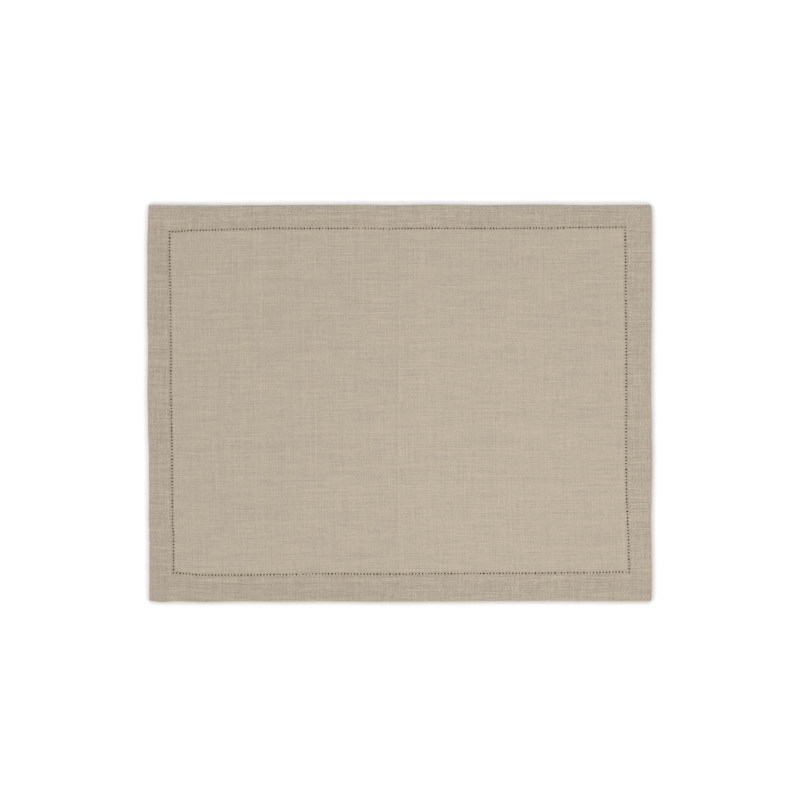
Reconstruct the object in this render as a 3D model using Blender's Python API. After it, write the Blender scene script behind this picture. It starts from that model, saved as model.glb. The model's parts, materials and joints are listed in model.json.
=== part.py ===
"""Hemstitched linen placemat, laid flat with its right side up.

The mat is one piece of cloth: a plain field inside a self hem, which is folded under and held by
a drawn-thread row. X runs along its long sides, Y along its short ones, and it rests on Z = 0.
Metres throughout, apart from the tables, whose columns are in millimetres.
"""

from collections import namedtuple
from math import ceil, hypot, radians

import bmesh
import bpy
import numpy as np

MM = 0.001

# The cut and hemmed size, measured along the mean line of each side
MAT_LENGTH = 482.6 * MM
MAT_WIDTH = 380.1 * MM

# Nominal distance from the outer edge to the middle of the hemstitch row
HEM_WIDTH = 25.0 * MM

# Widest spacing of the grid lines in the plain cloth, and how far a corner is rounded off
CELL = 13.0 * MM
CORNER_ROUND = 0.7 * MM

# The hem's lower lip starts this far in from its fold, so that the fold is round. A point of the
# outline belongs to a side when it lies within the reach of that side's mean line.
UNDERSIDE_INSET = 0.5 * MM
SIDE_REACH = 5.0 * MM

# The press crease down the middle, with the grid lines that carry it
CREASE_X = 0.9 * MM
CREASE_LINES = (-12.0 * MM, -4.0 * MM, -1.5 * MM, 0.0, 1.5 * MM, 4.0 * MM, 12.0 * MM)

LINEN_COLOUR = (0.497, 0.434, 0.347, 1.0)
LINEN_ROUGHNESS = 0.9

# Height of the right side over the surface, going in from the outer edge
SectionRow = namedtuple("SectionRow", "depth height")
SECTION = (
    SectionRow(0.0, 0.95),
    SectionRow(0.4, 1.60),
    SectionRow(1.3, 2.00),
    SectionRow(7.0, 2.15),
    SectionRow(14.0, 2.10),
    SectionRow(20.0, 2.05),
    SectionRow(23.4, 1.90),
    SectionRow(24.3, 1.15),
    SectionRow(25.7, 1.10),
    SectionRow(26.6, 1.45),
    SectionRow(34.0, 1.35),
    SectionRow(60.0, 1.30),
)
GRID_LINES = tuple(row.depth * MM for row in SECTION[:-1])

# How far each side's edge lies outside its mean line, and how wide its hem is there
SideRow = namedtuple("SideRow", "along out hem")
TOP_SIDE = (
    SideRow(-241, -0.2, 24.8),
    SideRow(-214, -0.4, 25.5),
    SideRow(-190, -0.5, 24.1),
    SideRow(-145, -0.3, 23.0),
    SideRow(-108, -0.1, 22.4),
    SideRow(-66, 0.2, 23.1),
    SideRow(-36, 0.4, 22.9),
    SideRow(-8, -0.1, 23.0),
    SideRow(36, 0.5, 23.1),
    SideRow(85, 0.0, 22.8),
    SideRow(140, 0.4, 22.9),
    SideRow(177, -0.1, 21.6),
    SideRow(241, 0.1, 21.7),
)
BOTTOM_SIDE = (
    SideRow(-241, -0.6, 27.0),
    SideRow(-228, 0.5, 27.6),
    SideRow(-215, -0.1, 27.2),
    SideRow(-188, 0.5, 25.8),
    SideRow(-150, -0.1, 25.2),
    SideRow(-110, 0.1, 25.8),
    SideRow(-75, -0.1, 26.4),
    SideRow(-15, 0.3, 26.5),
    SideRow(40, 0.1, 26.8),
    SideRow(110, -0.4, 26.6),
    SideRow(177, -0.4, 27.1),
    SideRow(210, -0.1, 28.1),
    SideRow(241, -0.2, 28.4),
)
LEFT_SIDE = (
    SideRow(-190, -1.2, 23.5),
    SideRow(-134, -1.2, 23.5),
    SideRow(-112, -0.8, 22.9),
    SideRow(-90, -1.0, 22.4),
    SideRow(-60, -0.9, 22.4),
    SideRow(-19, 0.0, 22.8),
    SideRow(16, 0.5, 22.5),
    SideRow(50, 0.0, 22.2),
    SideRow(88, 0.7, 22.4),
    SideRow(150, 0.7, 21.6),
    SideRow(176, -0.1, 21.0),
    SideRow(190, -0.6, 20.8),
)
RIGHT_SIDE = (
    SideRow(-190, 0.2, 22.0),
    SideRow(-168, 0.6, 22.0),
    SideRow(-140, 0.2, 22.0),
    SideRow(-114, -0.1, 22.9),
    SideRow(-92, 0.1, 24.0),
    SideRow(-59, 0.6, 25.0),
    SideRow(-34, 0.2, 24.6),
    SideRow(0, -0.1, 24.2),
    SideRow(50, -0.1, 24.1),
    SideRow(82, 0.1, 24.7),
    SideRow(119, 0.4, 25.2),
    SideRow(176, 0.3, 25.8),
    SideRow(190, -0.1, 25.6),
)

# Soft ridges (rise above nought) and troughs (below) along straight lines on the cloth
FoldRow = namedtuple("FoldRow", "x0 y0 x1 y1 half_width rise")
FOLDS = (
    # The press crease: a narrow ridge on a broad, low shoulder
    FoldRow(0.5, 200, 1.2, -200, 3.6, 0.28),
    FoldRow(0.5, 200, 1.2, -200, 15.0, 0.22),
    # A long trough that leaves the left hem and runs up to the top hem, with a ridge under it
    FoldRow(-214, 142, -40, 161, 18.0, -0.24),
    FoldRow(-200, 118, -70, 128, 20.0, 0.18),
    # A shallow dip right of the crease, below the top hem
    FoldRow(14, 148, 66, 150, 18.0, -0.20),
    # Pulls at the lower corners
    FoldRow(-208, -138, -186, -150, 20.0, 0.24),
    FoldRow(198, -132, 212, -112, 20.0, -0.22),
    # Slack across the right and left hems, where the stitching draws the cloth in
    FoldRow(222, 26, 240, 31, 12.0, 0.22),
    FoldRow(221, -14, 240, -8, 12.0, 0.22),
    FoldRow(222, -52, 240, -46, 12.0, 0.20),
    FoldRow(-240, 98, -222, 92, 12.0, 0.20),
    FoldRow(-240, -4, -222, -9, 12.0, 0.18),
    FoldRow(-240, -84, -221, -90, 12.0, 0.20),
    # Slack along the top and bottom hems
    FoldRow(-150, 178, -96, 181, 12.0, 0.14),
    FoldRow(88, 180, 150, 178, 12.0, 0.14),
    FoldRow(-120, -178, -52, -176, 14.0, 0.16),
    FoldRow(70, -177, 160, -180, 14.0, 0.16),
)


def read(rows, place, column):
    """The column's value at a place, in metres, eased from one row of the table to the next."""
    keys = [row[0] * MM for row in rows]
    values = [getattr(row, column) * MM for row in rows]
    place = min(max(place, keys[0]), keys[-1])
    index = min(int(np.searchsorted(keys, place, side="right")), len(keys) - 1)
    share = (place - keys[index - 1]) / (keys[index] - keys[index - 1])
    ease = share * share * (3 - 2 * share)
    return values[index - 1] + (values[index] - values[index - 1]) * ease


def fill(knots, cell):
    """The knots, with evenly spaced places added where two lie more than a cell apart."""
    places = [knots[0]]
    for start, end in zip(knots, knots[1:]):
        steps = ceil((end - start) / cell - 0.01)
        places += [start + (end - start) * step / steps for step in range(1, steps + 1)]
    return places


def lines_across(size, extra=()):
    """Nominal places of the grid lines from one outer edge to the other, about the middle."""
    low = [depth - size / 2 for depth in GRID_LINES]
    high = [size / 2 - depth for depth in reversed(GRID_LINES)]
    return fill(low + list(extra) + high, CELL)


def placed(place, size, low_side, high_side, along):
    """Where a nominal place across the mat really lies, between the uneven edges and hems."""
    low_edge = -size / 2 - read(low_side, along, "out")
    high_edge = size / 2 + read(high_side, along, "out")
    nominal = (-size / 2, HEM_WIDTH - size / 2, size / 2 - HEM_WIDTH, size / 2)
    real = (
        low_edge,
        low_edge + read(low_side, along, "hem"),
        high_edge - read(high_side, along, "hem"),
        high_edge,
    )
    return float(np.interp(place, nominal, real))


def fold_rise(fold, x, y):
    """What one ridge or trough adds to the height at a point."""
    run_x = (fold.x1 - fold.x0) * MM
    run_y = (fold.y1 - fold.y0) * MM
    from_x = x - fold.x0 * MM
    from_y = y - fold.y0 * MM
    share = (from_x * run_x + from_y * run_y) / (run_x * run_x + run_y * run_y)
    share = min(max(share, 0.0), 1.0)
    off = hypot(from_x - run_x * share, from_y - run_y * share)
    nearness = max(0.0, 1 - (off / (fold.half_width * MM)) ** 2)
    return fold.rise * MM * nearness * nearness


def height_at(nominal_x, nominal_y, x, y):
    """Height of the right side: the section across hem and field, plus its folds."""
    depth = min(MAT_LENGTH / 2 - abs(nominal_x), MAT_WIDTH / 2 - abs(nominal_y))
    inland = min(1.0, depth / GRID_LINES[2])
    return read(SECTION, depth, "height") + inland * sum(fold_rise(fold, x, y) for fold in FOLDS)


def shape_right_side(sheet):
    """Lays a grid out as the mat's right side, with its uneven outline, hem and folds."""
    crease = [CREASE_X + line for line in CREASE_LINES]
    columns = lines_across(MAT_LENGTH, crease)
    rows = lines_across(MAT_WIDTH)
    bmesh.ops.create_grid(sheet, x_segments=len(columns) - 1, y_segments=len(rows) - 1, size=1)
    for vert in sheet.verts:
        nominal_x = columns[round((vert.co.x + 1) / 2 * (len(columns) - 1))]
        nominal_y = rows[round((vert.co.y + 1) / 2 * (len(rows) - 1))]
        x = placed(nominal_x, MAT_LENGTH, LEFT_SIDE, RIGHT_SIDE, nominal_y)
        y = placed(nominal_y, MAT_WIDTH, BOTTOM_SIDE, TOP_SIDE, nominal_x)
        vert.co = (x, y, height_at(nominal_x, nominal_y, x, y))
    for vert in sheet.verts:
        if len(vert.link_faces) == 1:
            vert.co.x -= CORNER_ROUND * np.sign(vert.co.x)
            vert.co.y -= CORNER_ROUND * np.sign(vert.co.y)


def close_underside(sheet):
    """Extrudes the right side down to the surface and makes the underside one flat face."""
    made = bmesh.ops.extrude_face_region(sheet, geom=sheet.faces[:])["geom"]
    under = [item for item in made if isinstance(item, bmesh.types.BMFace)]
    low_verts = {vert for face in under for vert in face.verts}
    for vert in low_verts:
        vert.co.z = 0.0
    bmesh.ops.reverse_faces(sheet, faces=under)
    flat = bmesh.ops.dissolve_faces(sheet, faces=under, use_verts=False)["region"]
    for vert in flat[0].verts:
        if MAT_LENGTH / 2 - abs(vert.co.x) < SIDE_REACH:
            vert.co.x -= UNDERSIDE_INSET * np.sign(vert.co.x)
        if MAT_WIDTH / 2 - abs(vert.co.y) < SIDE_REACH:
            vert.co.y -= UNDERSIDE_INSET * np.sign(vert.co.y)


def centre(sheet):
    """Puts the middle of the mat's box over the origin."""
    spots = np.array([vert.co for vert in sheet.verts])
    middle = (spots.min(axis=0) + spots.max(axis=0)) / 2
    bmesh.ops.translate(sheet, verts=sheet.verts[:], vec=(-middle[0], -middle[1], 0.0))


def linen_material():
    """Plain undyed linen: warm taupe, matt."""
    material = bpy.data.materials.new("linen")
    material.use_nodes = True
    shader = material.node_tree.nodes["Principled BSDF"]
    shader.inputs["Base Color"].default_value = LINEN_COLOUR
    shader.inputs["Roughness"].default_value = LINEN_ROUGHNESS
    shader.inputs["Metallic"].default_value = 0.0
    material.diffuse_color = LINEN_COLOUR
    return material


def make_placemat():
    """The whole mat: field, drawn-thread groove and self hem as one solid."""
    sheet = bmesh.new()
    shape_right_side(sheet)
    close_underside(sheet)
    centre(sheet)
    bmesh.ops.recalc_face_normals(sheet, faces=sheet.faces[:])
    mesh = bpy.data.meshes.new("placemat")
    sheet.to_mesh(mesh)
    sheet.free()
    mesh.shade_smooth()
    mesh.set_sharp_from_angle(angle=radians(50))
    mesh.materials.append(linen_material())
    placemat = bpy.data.objects.new("placemat", mesh)
    bpy.context.collection.objects.link(placemat)


def main():
    for item in list(bpy.data.objects):
        bpy.data.objects.remove(item, do_unlink=True)
    make_placemat()


main()
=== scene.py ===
"""Hemstitched linen placemat, lying flat and seen from straight above.

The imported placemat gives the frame. This script lays the field cloth, folds the self hem round it,
bundles the drawn-thread row between them and sews it, and sets a plain studio. X runs along the
mat's long sides, Y along its short ones, and it rests on Z = 0. Metres throughout, apart from the
tables, whose columns are in millimetres or degrees as their names say.
"""

import json
from collections import namedtuple
from math import ceil, hypot, pi

import bmesh
import bpy
import numpy as np
from bpy.props import FloatProperty, FloatVectorProperty, IntProperty, PointerProperty
from mathutils import Matrix, Vector


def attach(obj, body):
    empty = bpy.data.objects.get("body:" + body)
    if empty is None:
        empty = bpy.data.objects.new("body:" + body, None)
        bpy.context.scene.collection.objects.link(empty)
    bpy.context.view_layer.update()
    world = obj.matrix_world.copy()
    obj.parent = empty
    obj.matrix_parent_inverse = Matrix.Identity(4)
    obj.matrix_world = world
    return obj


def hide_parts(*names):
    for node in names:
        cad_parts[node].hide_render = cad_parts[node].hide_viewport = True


bl_info = {
    "name": "Hemstitched placemat",
    "version": (1, 0, 0),
    "blender": (4, 5, 0),
    "location": "3D View > Sidebar > Placemat",
    "description": "Lays, hems and sews a linen placemat on its packed form",
    "category": "Object",
}

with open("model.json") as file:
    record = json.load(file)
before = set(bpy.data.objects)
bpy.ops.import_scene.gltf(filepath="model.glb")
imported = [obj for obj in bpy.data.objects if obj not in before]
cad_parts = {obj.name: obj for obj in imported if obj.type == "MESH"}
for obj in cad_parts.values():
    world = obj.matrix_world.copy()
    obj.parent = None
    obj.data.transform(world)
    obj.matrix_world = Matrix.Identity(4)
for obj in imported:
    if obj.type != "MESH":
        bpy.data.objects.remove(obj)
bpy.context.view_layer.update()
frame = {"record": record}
LINEN = frame["record"]["materials"][0]

MM = 0.001

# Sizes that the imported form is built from
MAT_LENGTH = 482.6 * MM
MAT_WIDTH = 380.1 * MM
HEM_WIDTH = 25.0 * MM
CORNER_ROUND = 0.7 * MM
CREASE_X = 0.9 * MM
MIDDLE_X = -0.05 * MM

# The close grid lines over the press crease, and how far in a corner's rounding reaches
CREASE_STEPS = (-9, -5.6, -4.6, -3.8, -3.1, -2.4, -1.7, -1, -0.3, 0.4, 1.1, 2, 3.4, 6)
CORNER_REACH = 3.0 * MM

# The folds reach their full height this far in from the edge. Grid lines of the field beside the
# row, and the hem's widest spacing of them, in millimetres
EDGE_EASE = 1.3 * MM
FIELD_LINES = [27.6, 29.2]
HEM_CELL = 2.6

# One unit of the row is drawn for this pitch, in millimetres, and comes in several kinds
UNIT_PITCH = 2.95
UNIT_KINDS = 5

# Chance in the row: in how wide a bundle is, in how far a drawn yarn's points lie off their place,
# as a share of it, and in how high they lie, in millimetres
WIDTH_STRAY = 0.07
YARN_SWAY = 0.04
YARN_RISE = 0.03

# The weave: how long the streaks and fibres of a yarn are, how many fibres lie across it and how
# they slant, how far it rises at a crossing, how far and how closely yarns wander, how much warmer
# some are, how many lie between two dents of the reed, and how unevenly the weft beds down
WEFT_STREAK = 34.0 * MM
WARP_STREAK = 30.0 * MM
QUICK_STREAK = 1.7 * MM
FIBRE_LENGTH = 1.6 * MM
FIBRES_ACROSS = 7.0
TWIST_SLANT = 3000.0
YARN_LIFT = 0.35
YARN_WANDER = 2.2 * MM
WANDER_SCALE = 28.0
YARN_WARMTH = (0.02, 0.0, -0.02)
DENT_YARNS = 4
BEDDING = 4.0

# How broad a yarn is beside its pitch, and how much broader a slub makes it
YARN_BREADTH = 0.92
SLUB_BREADTH = 0.5

# Where the weft and the warp read the noise, how far on from each other their yarns do, and how
# far on their short stretches
WEFT_START = 0.37
WARP_START = 91.7
YARN_STEP = 7.31
QUICK_STEP = 3.3

# How much each kind of unevenness changes the tone: long and short stretches of a yarn, one yarn
# beside the next, its fibres; then a crossing, a line beside a group of yarns, and patches of a hem
ToneShares = namedtuple("ToneShares", "slow quick lone fibre")
WEFT_SHARES = ToneShares(1.08, 1.10, 0.12, 0.6)
WARP_SHARES = ToneShares(0.60, 0.90, 0.14, 0.6)
CROSSING_SHARE = 0.14
DENT_SHARE = -0.05
PATCH_SHARE = 0.06
PATCH_SCALE = (38.0, 380.0, 1.0)

# Painted shade in the gaps between the yarns, and the painted light that their rounded tops add to
# it
GAP_PAINTED_SHADE = 0.82
TOP_PAINTED_LIGHT = 0.24
EVEN_TONE = 1.03

# Depth of the puckers in the field, how much deeper they are in the hem, and how close together
PUCKER_DEPTH = 0.06 * MM
HEM_PUCKER = 0.10 * MM
PUCKER_SCALE = 1.6

# Gloss and sheen of the cloth, and of the yarns in the open row, then how rough the cloth is in
# its gaps and the yarns are at their smoothest, and what a rounded top or a fibre changes there
LINEN_GLOSS = 0.12
LINEN_SHEEN = 0.05
YARN_GLOSS = 0.2
YARN_SHEEN = 0.06
LINEN_ROUGH = 0.94
TOP_ROUGH = -0.12
YARN_ROUGH = 0.68
FIBRE_ROUGH = 0.2
SHEEN_ROUGH = 0.45

# How closely the tone of the open row's yarns varies, how much their fibres show in it, and how
# deep the fibres are
BUNDLE_PATCHES = 260.0
FIBRE_TONE = 0.16
FIBRE_DEPTH = 0.05 * MM

# Trim of the record's colour, so that sheen and reflected light leave the linen as warm as it is
COLOUR_TRIM = (1.0, 0.985, 0.98)

# Bare rim round each part of the texture map, and the slope from which a face counts as under
MAP_MARGIN = 0.004
UNDER_SLOPE = -0.05

# Studio sizes: the lens and its film in millimetres, the rest in metres
CAMERA_LENS = 100.0
CAMERA_SENSOR = 36.0
MAT_TOP = 1.6 * MM
FLOOR_REACH = 15.0
FLOOR_GAP = 0.1 * MM

# The turned layer lies lower than this. The outer fold reaches in this far from the edge, and its
# middle and top lie this high
TURNED_TOP = 0.45 * MM
FOLD_REACH = 1.35 * MM
FOLD_MIDDLE = 0.95 * MM
FOLD_TOP = 2.02 * MM

# The pit of the open row, which carries painted shade: how deep in from the edge and how high it
# lies, and what the light between linen walls leaves of the colour down there
PIT_START = 23.95 * MM
PIT_END = 27.0 * MM
PIT_TOP = 0.60 * MM
PIT_FLOOR = 0.12 * MM
PIT_SHADE_COLOUR = (0.19, 0.135, 0.075)

# The round of the outer fold carries a little painted shade too, as far in and as high as this
RIM_DEPTH = 1.0 * MM
RIM_TOP = 1.0 * MM
RIM_PAINTED_SHADE = 0.38


def table(columns, *rows):
    """Rows of a table with named columns."""
    kind = namedtuple("Row", columns)
    return tuple(kind(*row) for row in rows)


# Height of the right side over the surface, going in from the outer edge of the hem
HEM_SECTION = table(
    "depth height",
    (0.0, 0.95), (0.12, 1.36), (0.35, 1.68), (0.75, 1.90), (1.3, 2.02), (7.0, 2.15),
    (14.0, 2.10), (20.0, 2.05), (22.8, 2.00), (23.5, 1.90), (23.9, 1.72), (24.15, 1.46),
)
# The fold under the outer edge, then the turned layer lying on the surface. It reaches in under the
# band as far as the field, a sheet put there so that linen in painted shade shows through the holes
UNDER_SECTION = table(
    "depth height",
    (0.08, 0.62), (0.28, 0.28), (0.6, 0.08), (1.2, 0.0), (7.0, 0.0), (15.0, 0.0), (23.5, 0.0),
    (26.4, 0.0), (26.8, 0.06),
)
# The layers of the hem that show on edge beside the band, and the turned layer under it
LAYER_SECTION = table(
    "depth height",
    (24.18, 1.26), (24.00, 1.14), (24.19, 1.00), (24.19, 0.76), (24.00, 0.66), (24.16, 0.54),
    (24.04, 0.40), (24.25, 0.28), (26.4, 0.26), (26.8, 0.20),
)
FIELD_SECTION = table(
    "depth height",
    (25.85, 1.28), (26.05, 1.40), (26.6, 1.47), (34.0, 1.35), (60.0, 1.30),
)

# How far each side's edge lies outside its mean line, and how wide its hem is there
TOP_SIDE = table(
    "along out hem",
    (-241, -0.2, 24.8), (-214, -0.4, 25.5), (-190, -0.5, 24.1), (-145, -0.3, 23.0),
    (-108, -0.1, 22.4), (-66, 0.2, 23.1), (-36, 0.4, 22.9), (-8, -0.1, 23.0), (36, 0.5, 23.1),
    (85, 0.0, 22.8), (140, 0.4, 22.9), (177, -0.1, 21.6), (241, 0.1, 21.7),
)
BOTTOM_SIDE = table(
    "along out hem",
    (-241, -0.6, 27.0), (-228, 0.5, 27.6), (-215, -0.1, 27.2), (-188, 0.5, 25.8),
    (-150, -0.1, 25.2), (-110, 0.1, 25.8), (-75, -0.1, 26.4), (-15, 0.3, 26.5), (40, 0.1, 26.8),
    (110, -0.4, 26.6), (177, -0.4, 27.1), (210, -0.1, 28.1), (241, -0.2, 28.4),
)
LEFT_SIDE = table(
    "along out hem",
    (-190, -1.2, 23.5), (-134, -1.2, 23.5), (-112, -0.8, 22.9), (-90, -1.0, 22.4),
    (-60, -0.9, 22.4), (-19, 0.0, 22.8), (16, 0.5, 22.5), (50, 0.0, 22.2), (88, 0.7, 22.4),
    (150, 0.7, 21.6), (176, -0.1, 21.0), (190, -0.6, 20.8),
)
RIGHT_SIDE = table(
    "along out hem",
    (-190, 0.2, 22.0), (-168, 0.6, 22.0), (-140, 0.2, 22.0), (-114, -0.1, 22.9),
    (-92, 0.1, 24.0), (-59, 0.6, 25.0), (-34, 0.2, 24.6), (0, -0.1, 24.2), (50, -0.1, 24.1),
    (82, 0.1, 24.7), (119, 0.4, 25.2), (176, 0.3, 25.8), (190, -0.1, 25.6),
)

# Soft ridges (rise above nought) and troughs (below) along straight lines on the cloth
FOLDS = table(
    "x0 y0 x1 y1 half_width rise",
    # The press crease: a narrow ridge on a broad, low shoulder
    (0.5, 200, 1.2, -200, 3.6, 0.28),
    (0.5, 200, 1.2, -200, 15.0, 0.22),
    # A long trough that leaves the left hem and runs up to the top hem, with a ridge under it
    (-214, 142, -40, 161, 18.0, -0.24),
    (-200, 118, -70, 128, 20.0, 0.18),
    # A shallow dip right of the crease, below the top hem
    (14, 148, 66, 150, 18.0, -0.20),
    # Pulls at the lower corners
    (-208, -138, -186, -150, 20.0, 0.24),
    (198, -132, 212, -112, 20.0, -0.22),
    # Slack across the right and left hems, where the stitching draws the cloth in
    (222, 26, 240, 31, 12.0, 0.22),
    (221, -14, 240, -8, 12.0, 0.22),
    (222, -52, 240, -46, 12.0, 0.20),
    (-240, 98, -222, 92, 12.0, 0.20),
    (-240, -4, -222, -9, 12.0, 0.18),
    (-240, -84, -221, -90, 12.0, 0.20),
    # Slack along the top and bottom hems
    (-150, 178, -96, 181, 12.0, 0.14),
    (88, 180, 150, 178, 12.0, 0.14),
    (-120, -178, -52, -176, 14.0, 0.16),
    (70, -177, 160, -180, 14.0, 0.16),
)
# Finer creases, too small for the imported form
FINE_FOLDS = table(
    "x0 y0 x1 y1 half_width rise",
    # The sharp line pressed into the top of the crease, plainest below the top hem
    (0.1, 188, -0.3, 104, 1.9, -0.20),
    (-0.3, 104, -1.0, 20, 1.7, -0.13),
    (-1.0, 20, -1.4, -90, 1.7, -0.11),
    (-1.4, -90, -1.2, -186, 1.6, -0.09),
    # Pulls that fan out from each corner of the hemstitch row
    (-221, 167, -233, 173, 2.2, 0.26),
    (-221, 163, -236, 160, 2.0, 0.20),
    (-217, 169, -220, 184, 2.0, 0.18),
    (218, 171, 228, 181, 2.2, 0.22),
    (219, 166, 234, 170, 2.0, 0.18),
    (222, -163, 234, -171, 2.2, 0.22),
    (218, -167, 222, -181, 2.0, 0.18),
    (-219, -165, -231, -175, 2.2, 0.22),
    (-221, -178, -228, -183, 1.8, 0.20),
    (-221, -161, -235, -163, 2.0, 0.16),
    # Small pleats across the side hems
    (223, 14, 240, 19, 3.2, 0.12),
    (223, 4, 239, 8, 2.8, -0.10),
    (222, -30, 239, -25, 3.2, 0.12),
    (222, -38, 238, -34, 2.6, -0.10),
    (222, 60, 240, 66, 3.6, 0.10),
    (223, 112, 239, 118, 3.4, 0.10),
    (224, 150, 240, 157, 3.4, 0.12),
    (-239, 134, -222, 129, 3.4, 0.12),
    (-239, 58, -222, 54, 3.2, 0.10),
    (-239, 30, -222, 25, 3.0, 0.10),
    (-238, -48, -222, -54, 3.2, 0.12),
    (-239, -118, -222, -123, 3.4, 0.12),
)

# The four rows of hemstitching: how many holes each has from one corner's hole to the next
HOLE_ROWS = table(
    "side holes",
    ("top", 149),
    ("bottom", 141),
    ("left", 108),
    ("right", 108),
)
# Stretches where the bundles spread and the holes almost close
TIGHT_STRETCHES = table(
    "side start end spread",
    ("top", -47, -4, 1.22),
    ("top", -170, -158, 1.12),
    ("bottom", -109, -80, 1.20),
    ("bottom", 60, 74, 1.12),
    ("left", 70, 88, 1.16),
    ("right", -168, 168, 0.93),
    ("left", -166, 66, 0.97),
)

# One drawn yarn of a bundle, from inside the hem to inside the field: how far it lies from the
# bundle's middle as a share of its place in the weave, its height, and its size
DRAWN_YARN = table(
    "across spread height half_width half_height",
    (-1.20, 1.00, 1.62, 0.32, 0.20),
    (-0.82, 0.76, 1.66, 0.29, 0.24),
    (-0.36, 0.49, 1.62, 0.25, 0.27),
    (0.36, 0.49, 1.50, 0.25, 0.27),
    (0.82, 0.76, 1.34, 0.29, 0.24),
    (1.20, 1.00, 1.16, 0.32, 0.20),
)
YARNS_IN_BUNDLE = 4
YARN_SIDES = 4
# How much lighter the drawn yarns and the sewing thread are than the linen's base colour: partly
# their own tone, partly painted light that makes up for the shade they lie in
BUNDLE_TONE_AND_LIGHT = 1.30
THREAD_TONE_AND_LIGHT = 1.18

# The sewing thread round one bundle. On the hem's side it bites into the hem between bundles
HEM_STITCH = table(
    "along across height",
    (-0.50, -2.15, 1.76),
    (-0.50, -1.75, 2.10),
    (-0.49, -1.20, 2.02),
    (-0.38, -0.86, 1.84),
    (-0.18, -0.78, 1.86),
    (0.18, -0.78, 1.86),
    (0.38, -0.86, 1.80),
    (0.49, -1.12, 1.46),
)
FIELD_STITCH = table(
    "along across height",
    (-0.50, 1.06, 1.22),
    (-0.38, 0.88, 1.50),
    (-0.16, 0.78, 1.61),
    (0.16, 0.78, 1.61),
    (0.38, 0.88, 1.50),
    (0.50, 1.06, 1.22),
)
THREAD_SIDES = 5

# Slow changes of tone over the cloth, and narrow ones along the press crease, many of them painted
# light and shade: darker below nought, lighter above. The half to the right of the press crease is
# a step lighter, painted light where that half tilts towards the light, and the cloth beside the row
# a little lighter, partly painted light where it tilts up to the row
BASE_TONE = 0.865
PRESS_LIGHT_STEP = 0.010
PRESS_REACH = 3.0 * MM
ROW_PAINTED_LIGHT = 0.012
ROW_REACH = 4.0 * MM
LIGHT_AND_TONE_SPOTS = table(
    "x y reach_x reach_y change",
    # A broad pool of painted light, brightest right of the middle and below it
    (110, -80, 290, 260, 0.085),
    # Painted shade in the long trough at the left, in the dip below the top hem and in the dimple of
    # the lower right pull; a darker spot at the lower left pull
    (-214, 140, 30, 45, -0.010),
    (30, 150, 34, 11, -0.016),
    (198, -130, 8, 6, -0.030),
    (-200, -146, 7, 5, -0.020),
    # Darker and lighter stretches along the hems
    (208, -40, 10, 60, -0.010),
    (-100, 178, 160, 12, 0.015),
    (-231, 20, 12, 170, -0.006),
    (231, 0, 12, 190, -0.008),
    (0, -178, 230, 12, -0.034),
    # The press line: painted shade on one side of the crease, painted light on the other, as on a
    # lit ridge
    (-0.9, 130, 0.75, 46, -0.105),
    (1.0, 130, 0.9, 46, 0.030),
    (-1.9, 50, 0.9, 48, -0.050),
    (1.9, 50, 1.2, 48, 0.012),
    (-2.9, -70, 1.0, 85, -0.030),
    (2.8, -70, 1.2, 80, 0.012),
    (-2.9, 178, 1.3, 12, -0.050),
    (-2.9, -178, 1.3, 12, -0.030),
    # Painted highlights on the pulls beside the top left corner of the row
    (-220.2, 169.6, 1.6, 2.6, 0.085),
    (-224.6, 161.2, 3.2, 1.1, 0.065),
)

# The studio's light: how its brightness goes with the sine of the height over the floor. A broad
# ring low round the mat, nothing below the floor, and a dim zenith
WALLS = table(
    "start end below above",
    (-0.03, 0.0, 0.0, 1.0),
    (0.05, 0.16, 1.0, 3.6),
    (0.50, 0.60, 1.0, 0.015),
)
# How much brighter the ring is on the left than on the right
WALL_LEAN = 0.10


# Reading the tables and laying points on the mat


def read(rows, places, column):
    """The column's values at places, in metres, eased from one row of the table to the next."""
    keys = np.array([row[0] for row in rows]) * MM
    values = np.array([getattr(row, column) for row in rows]) * MM
    spots = np.clip(places, keys[0], keys[-1])
    after = np.clip(np.searchsorted(keys, spots, side="right"), 1, len(keys) - 1)
    share = (spots - keys[after - 1]) / (keys[after] - keys[after - 1])
    ease = share * share * (3 - 2 * share)
    return values[after - 1] + (values[after] - values[after - 1]) * ease


def fill(knots, cell):
    """The knots, with evenly spaced places added where two lie more than a cell apart."""
    places = [knots[0]]
    for start, end in zip(knots, knots[1:]):
        steps = ceil((end - start) / cell - 0.01)
        places += [start + (end - start) * step / steps for step in range(1, steps + 1)]
    return places


def hem_lines(size, low_side, high_side, along):
    """Where the middles of the two facing hemstitch rows lie, and how wide the hems are there."""
    low_hem = read(low_side, along, "hem")
    high_hem = read(high_side, along, "hem")
    low_line = low_hem - size / 2 - read(low_side, along, "out")
    high_line = size / 2 + read(high_side, along, "out") - high_hem
    return low_line, high_line, low_hem, high_hem


def placed(places, size, low_side, high_side, along):
    """Where nominal places across the mat really lie, between the uneven edges and hems."""
    low_line, high_line, low_hem, high_hem = hem_lines(size, low_side, high_side, along)
    inner = size / 2 - HEM_WIDTH
    field = low_line + (places + inner) / (2 * inner) * (high_line - low_line)
    below = low_line + (places + inner) / HEM_WIDTH * low_hem
    above = high_line + (places - inner) / HEM_WIDTH * high_hem
    return np.where(places < -inner, below, np.where(places > inner, above, field))


def woven(places, size, low_side, high_side, along):
    """Places across the cloth as they lay on the loom: the yarns run straight beside the rows."""
    low_line, high_line, _, _ = hem_lines(size, low_side, high_side, along)
    inner = size / 2 - HEM_WIDTH
    field = (places - low_line) / (high_line - low_line) * 2 * inner - inner
    below = places - low_line - inner
    above = places - high_line + inner
    return np.where(places < low_line, below, np.where(places > high_line, above, field))


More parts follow.
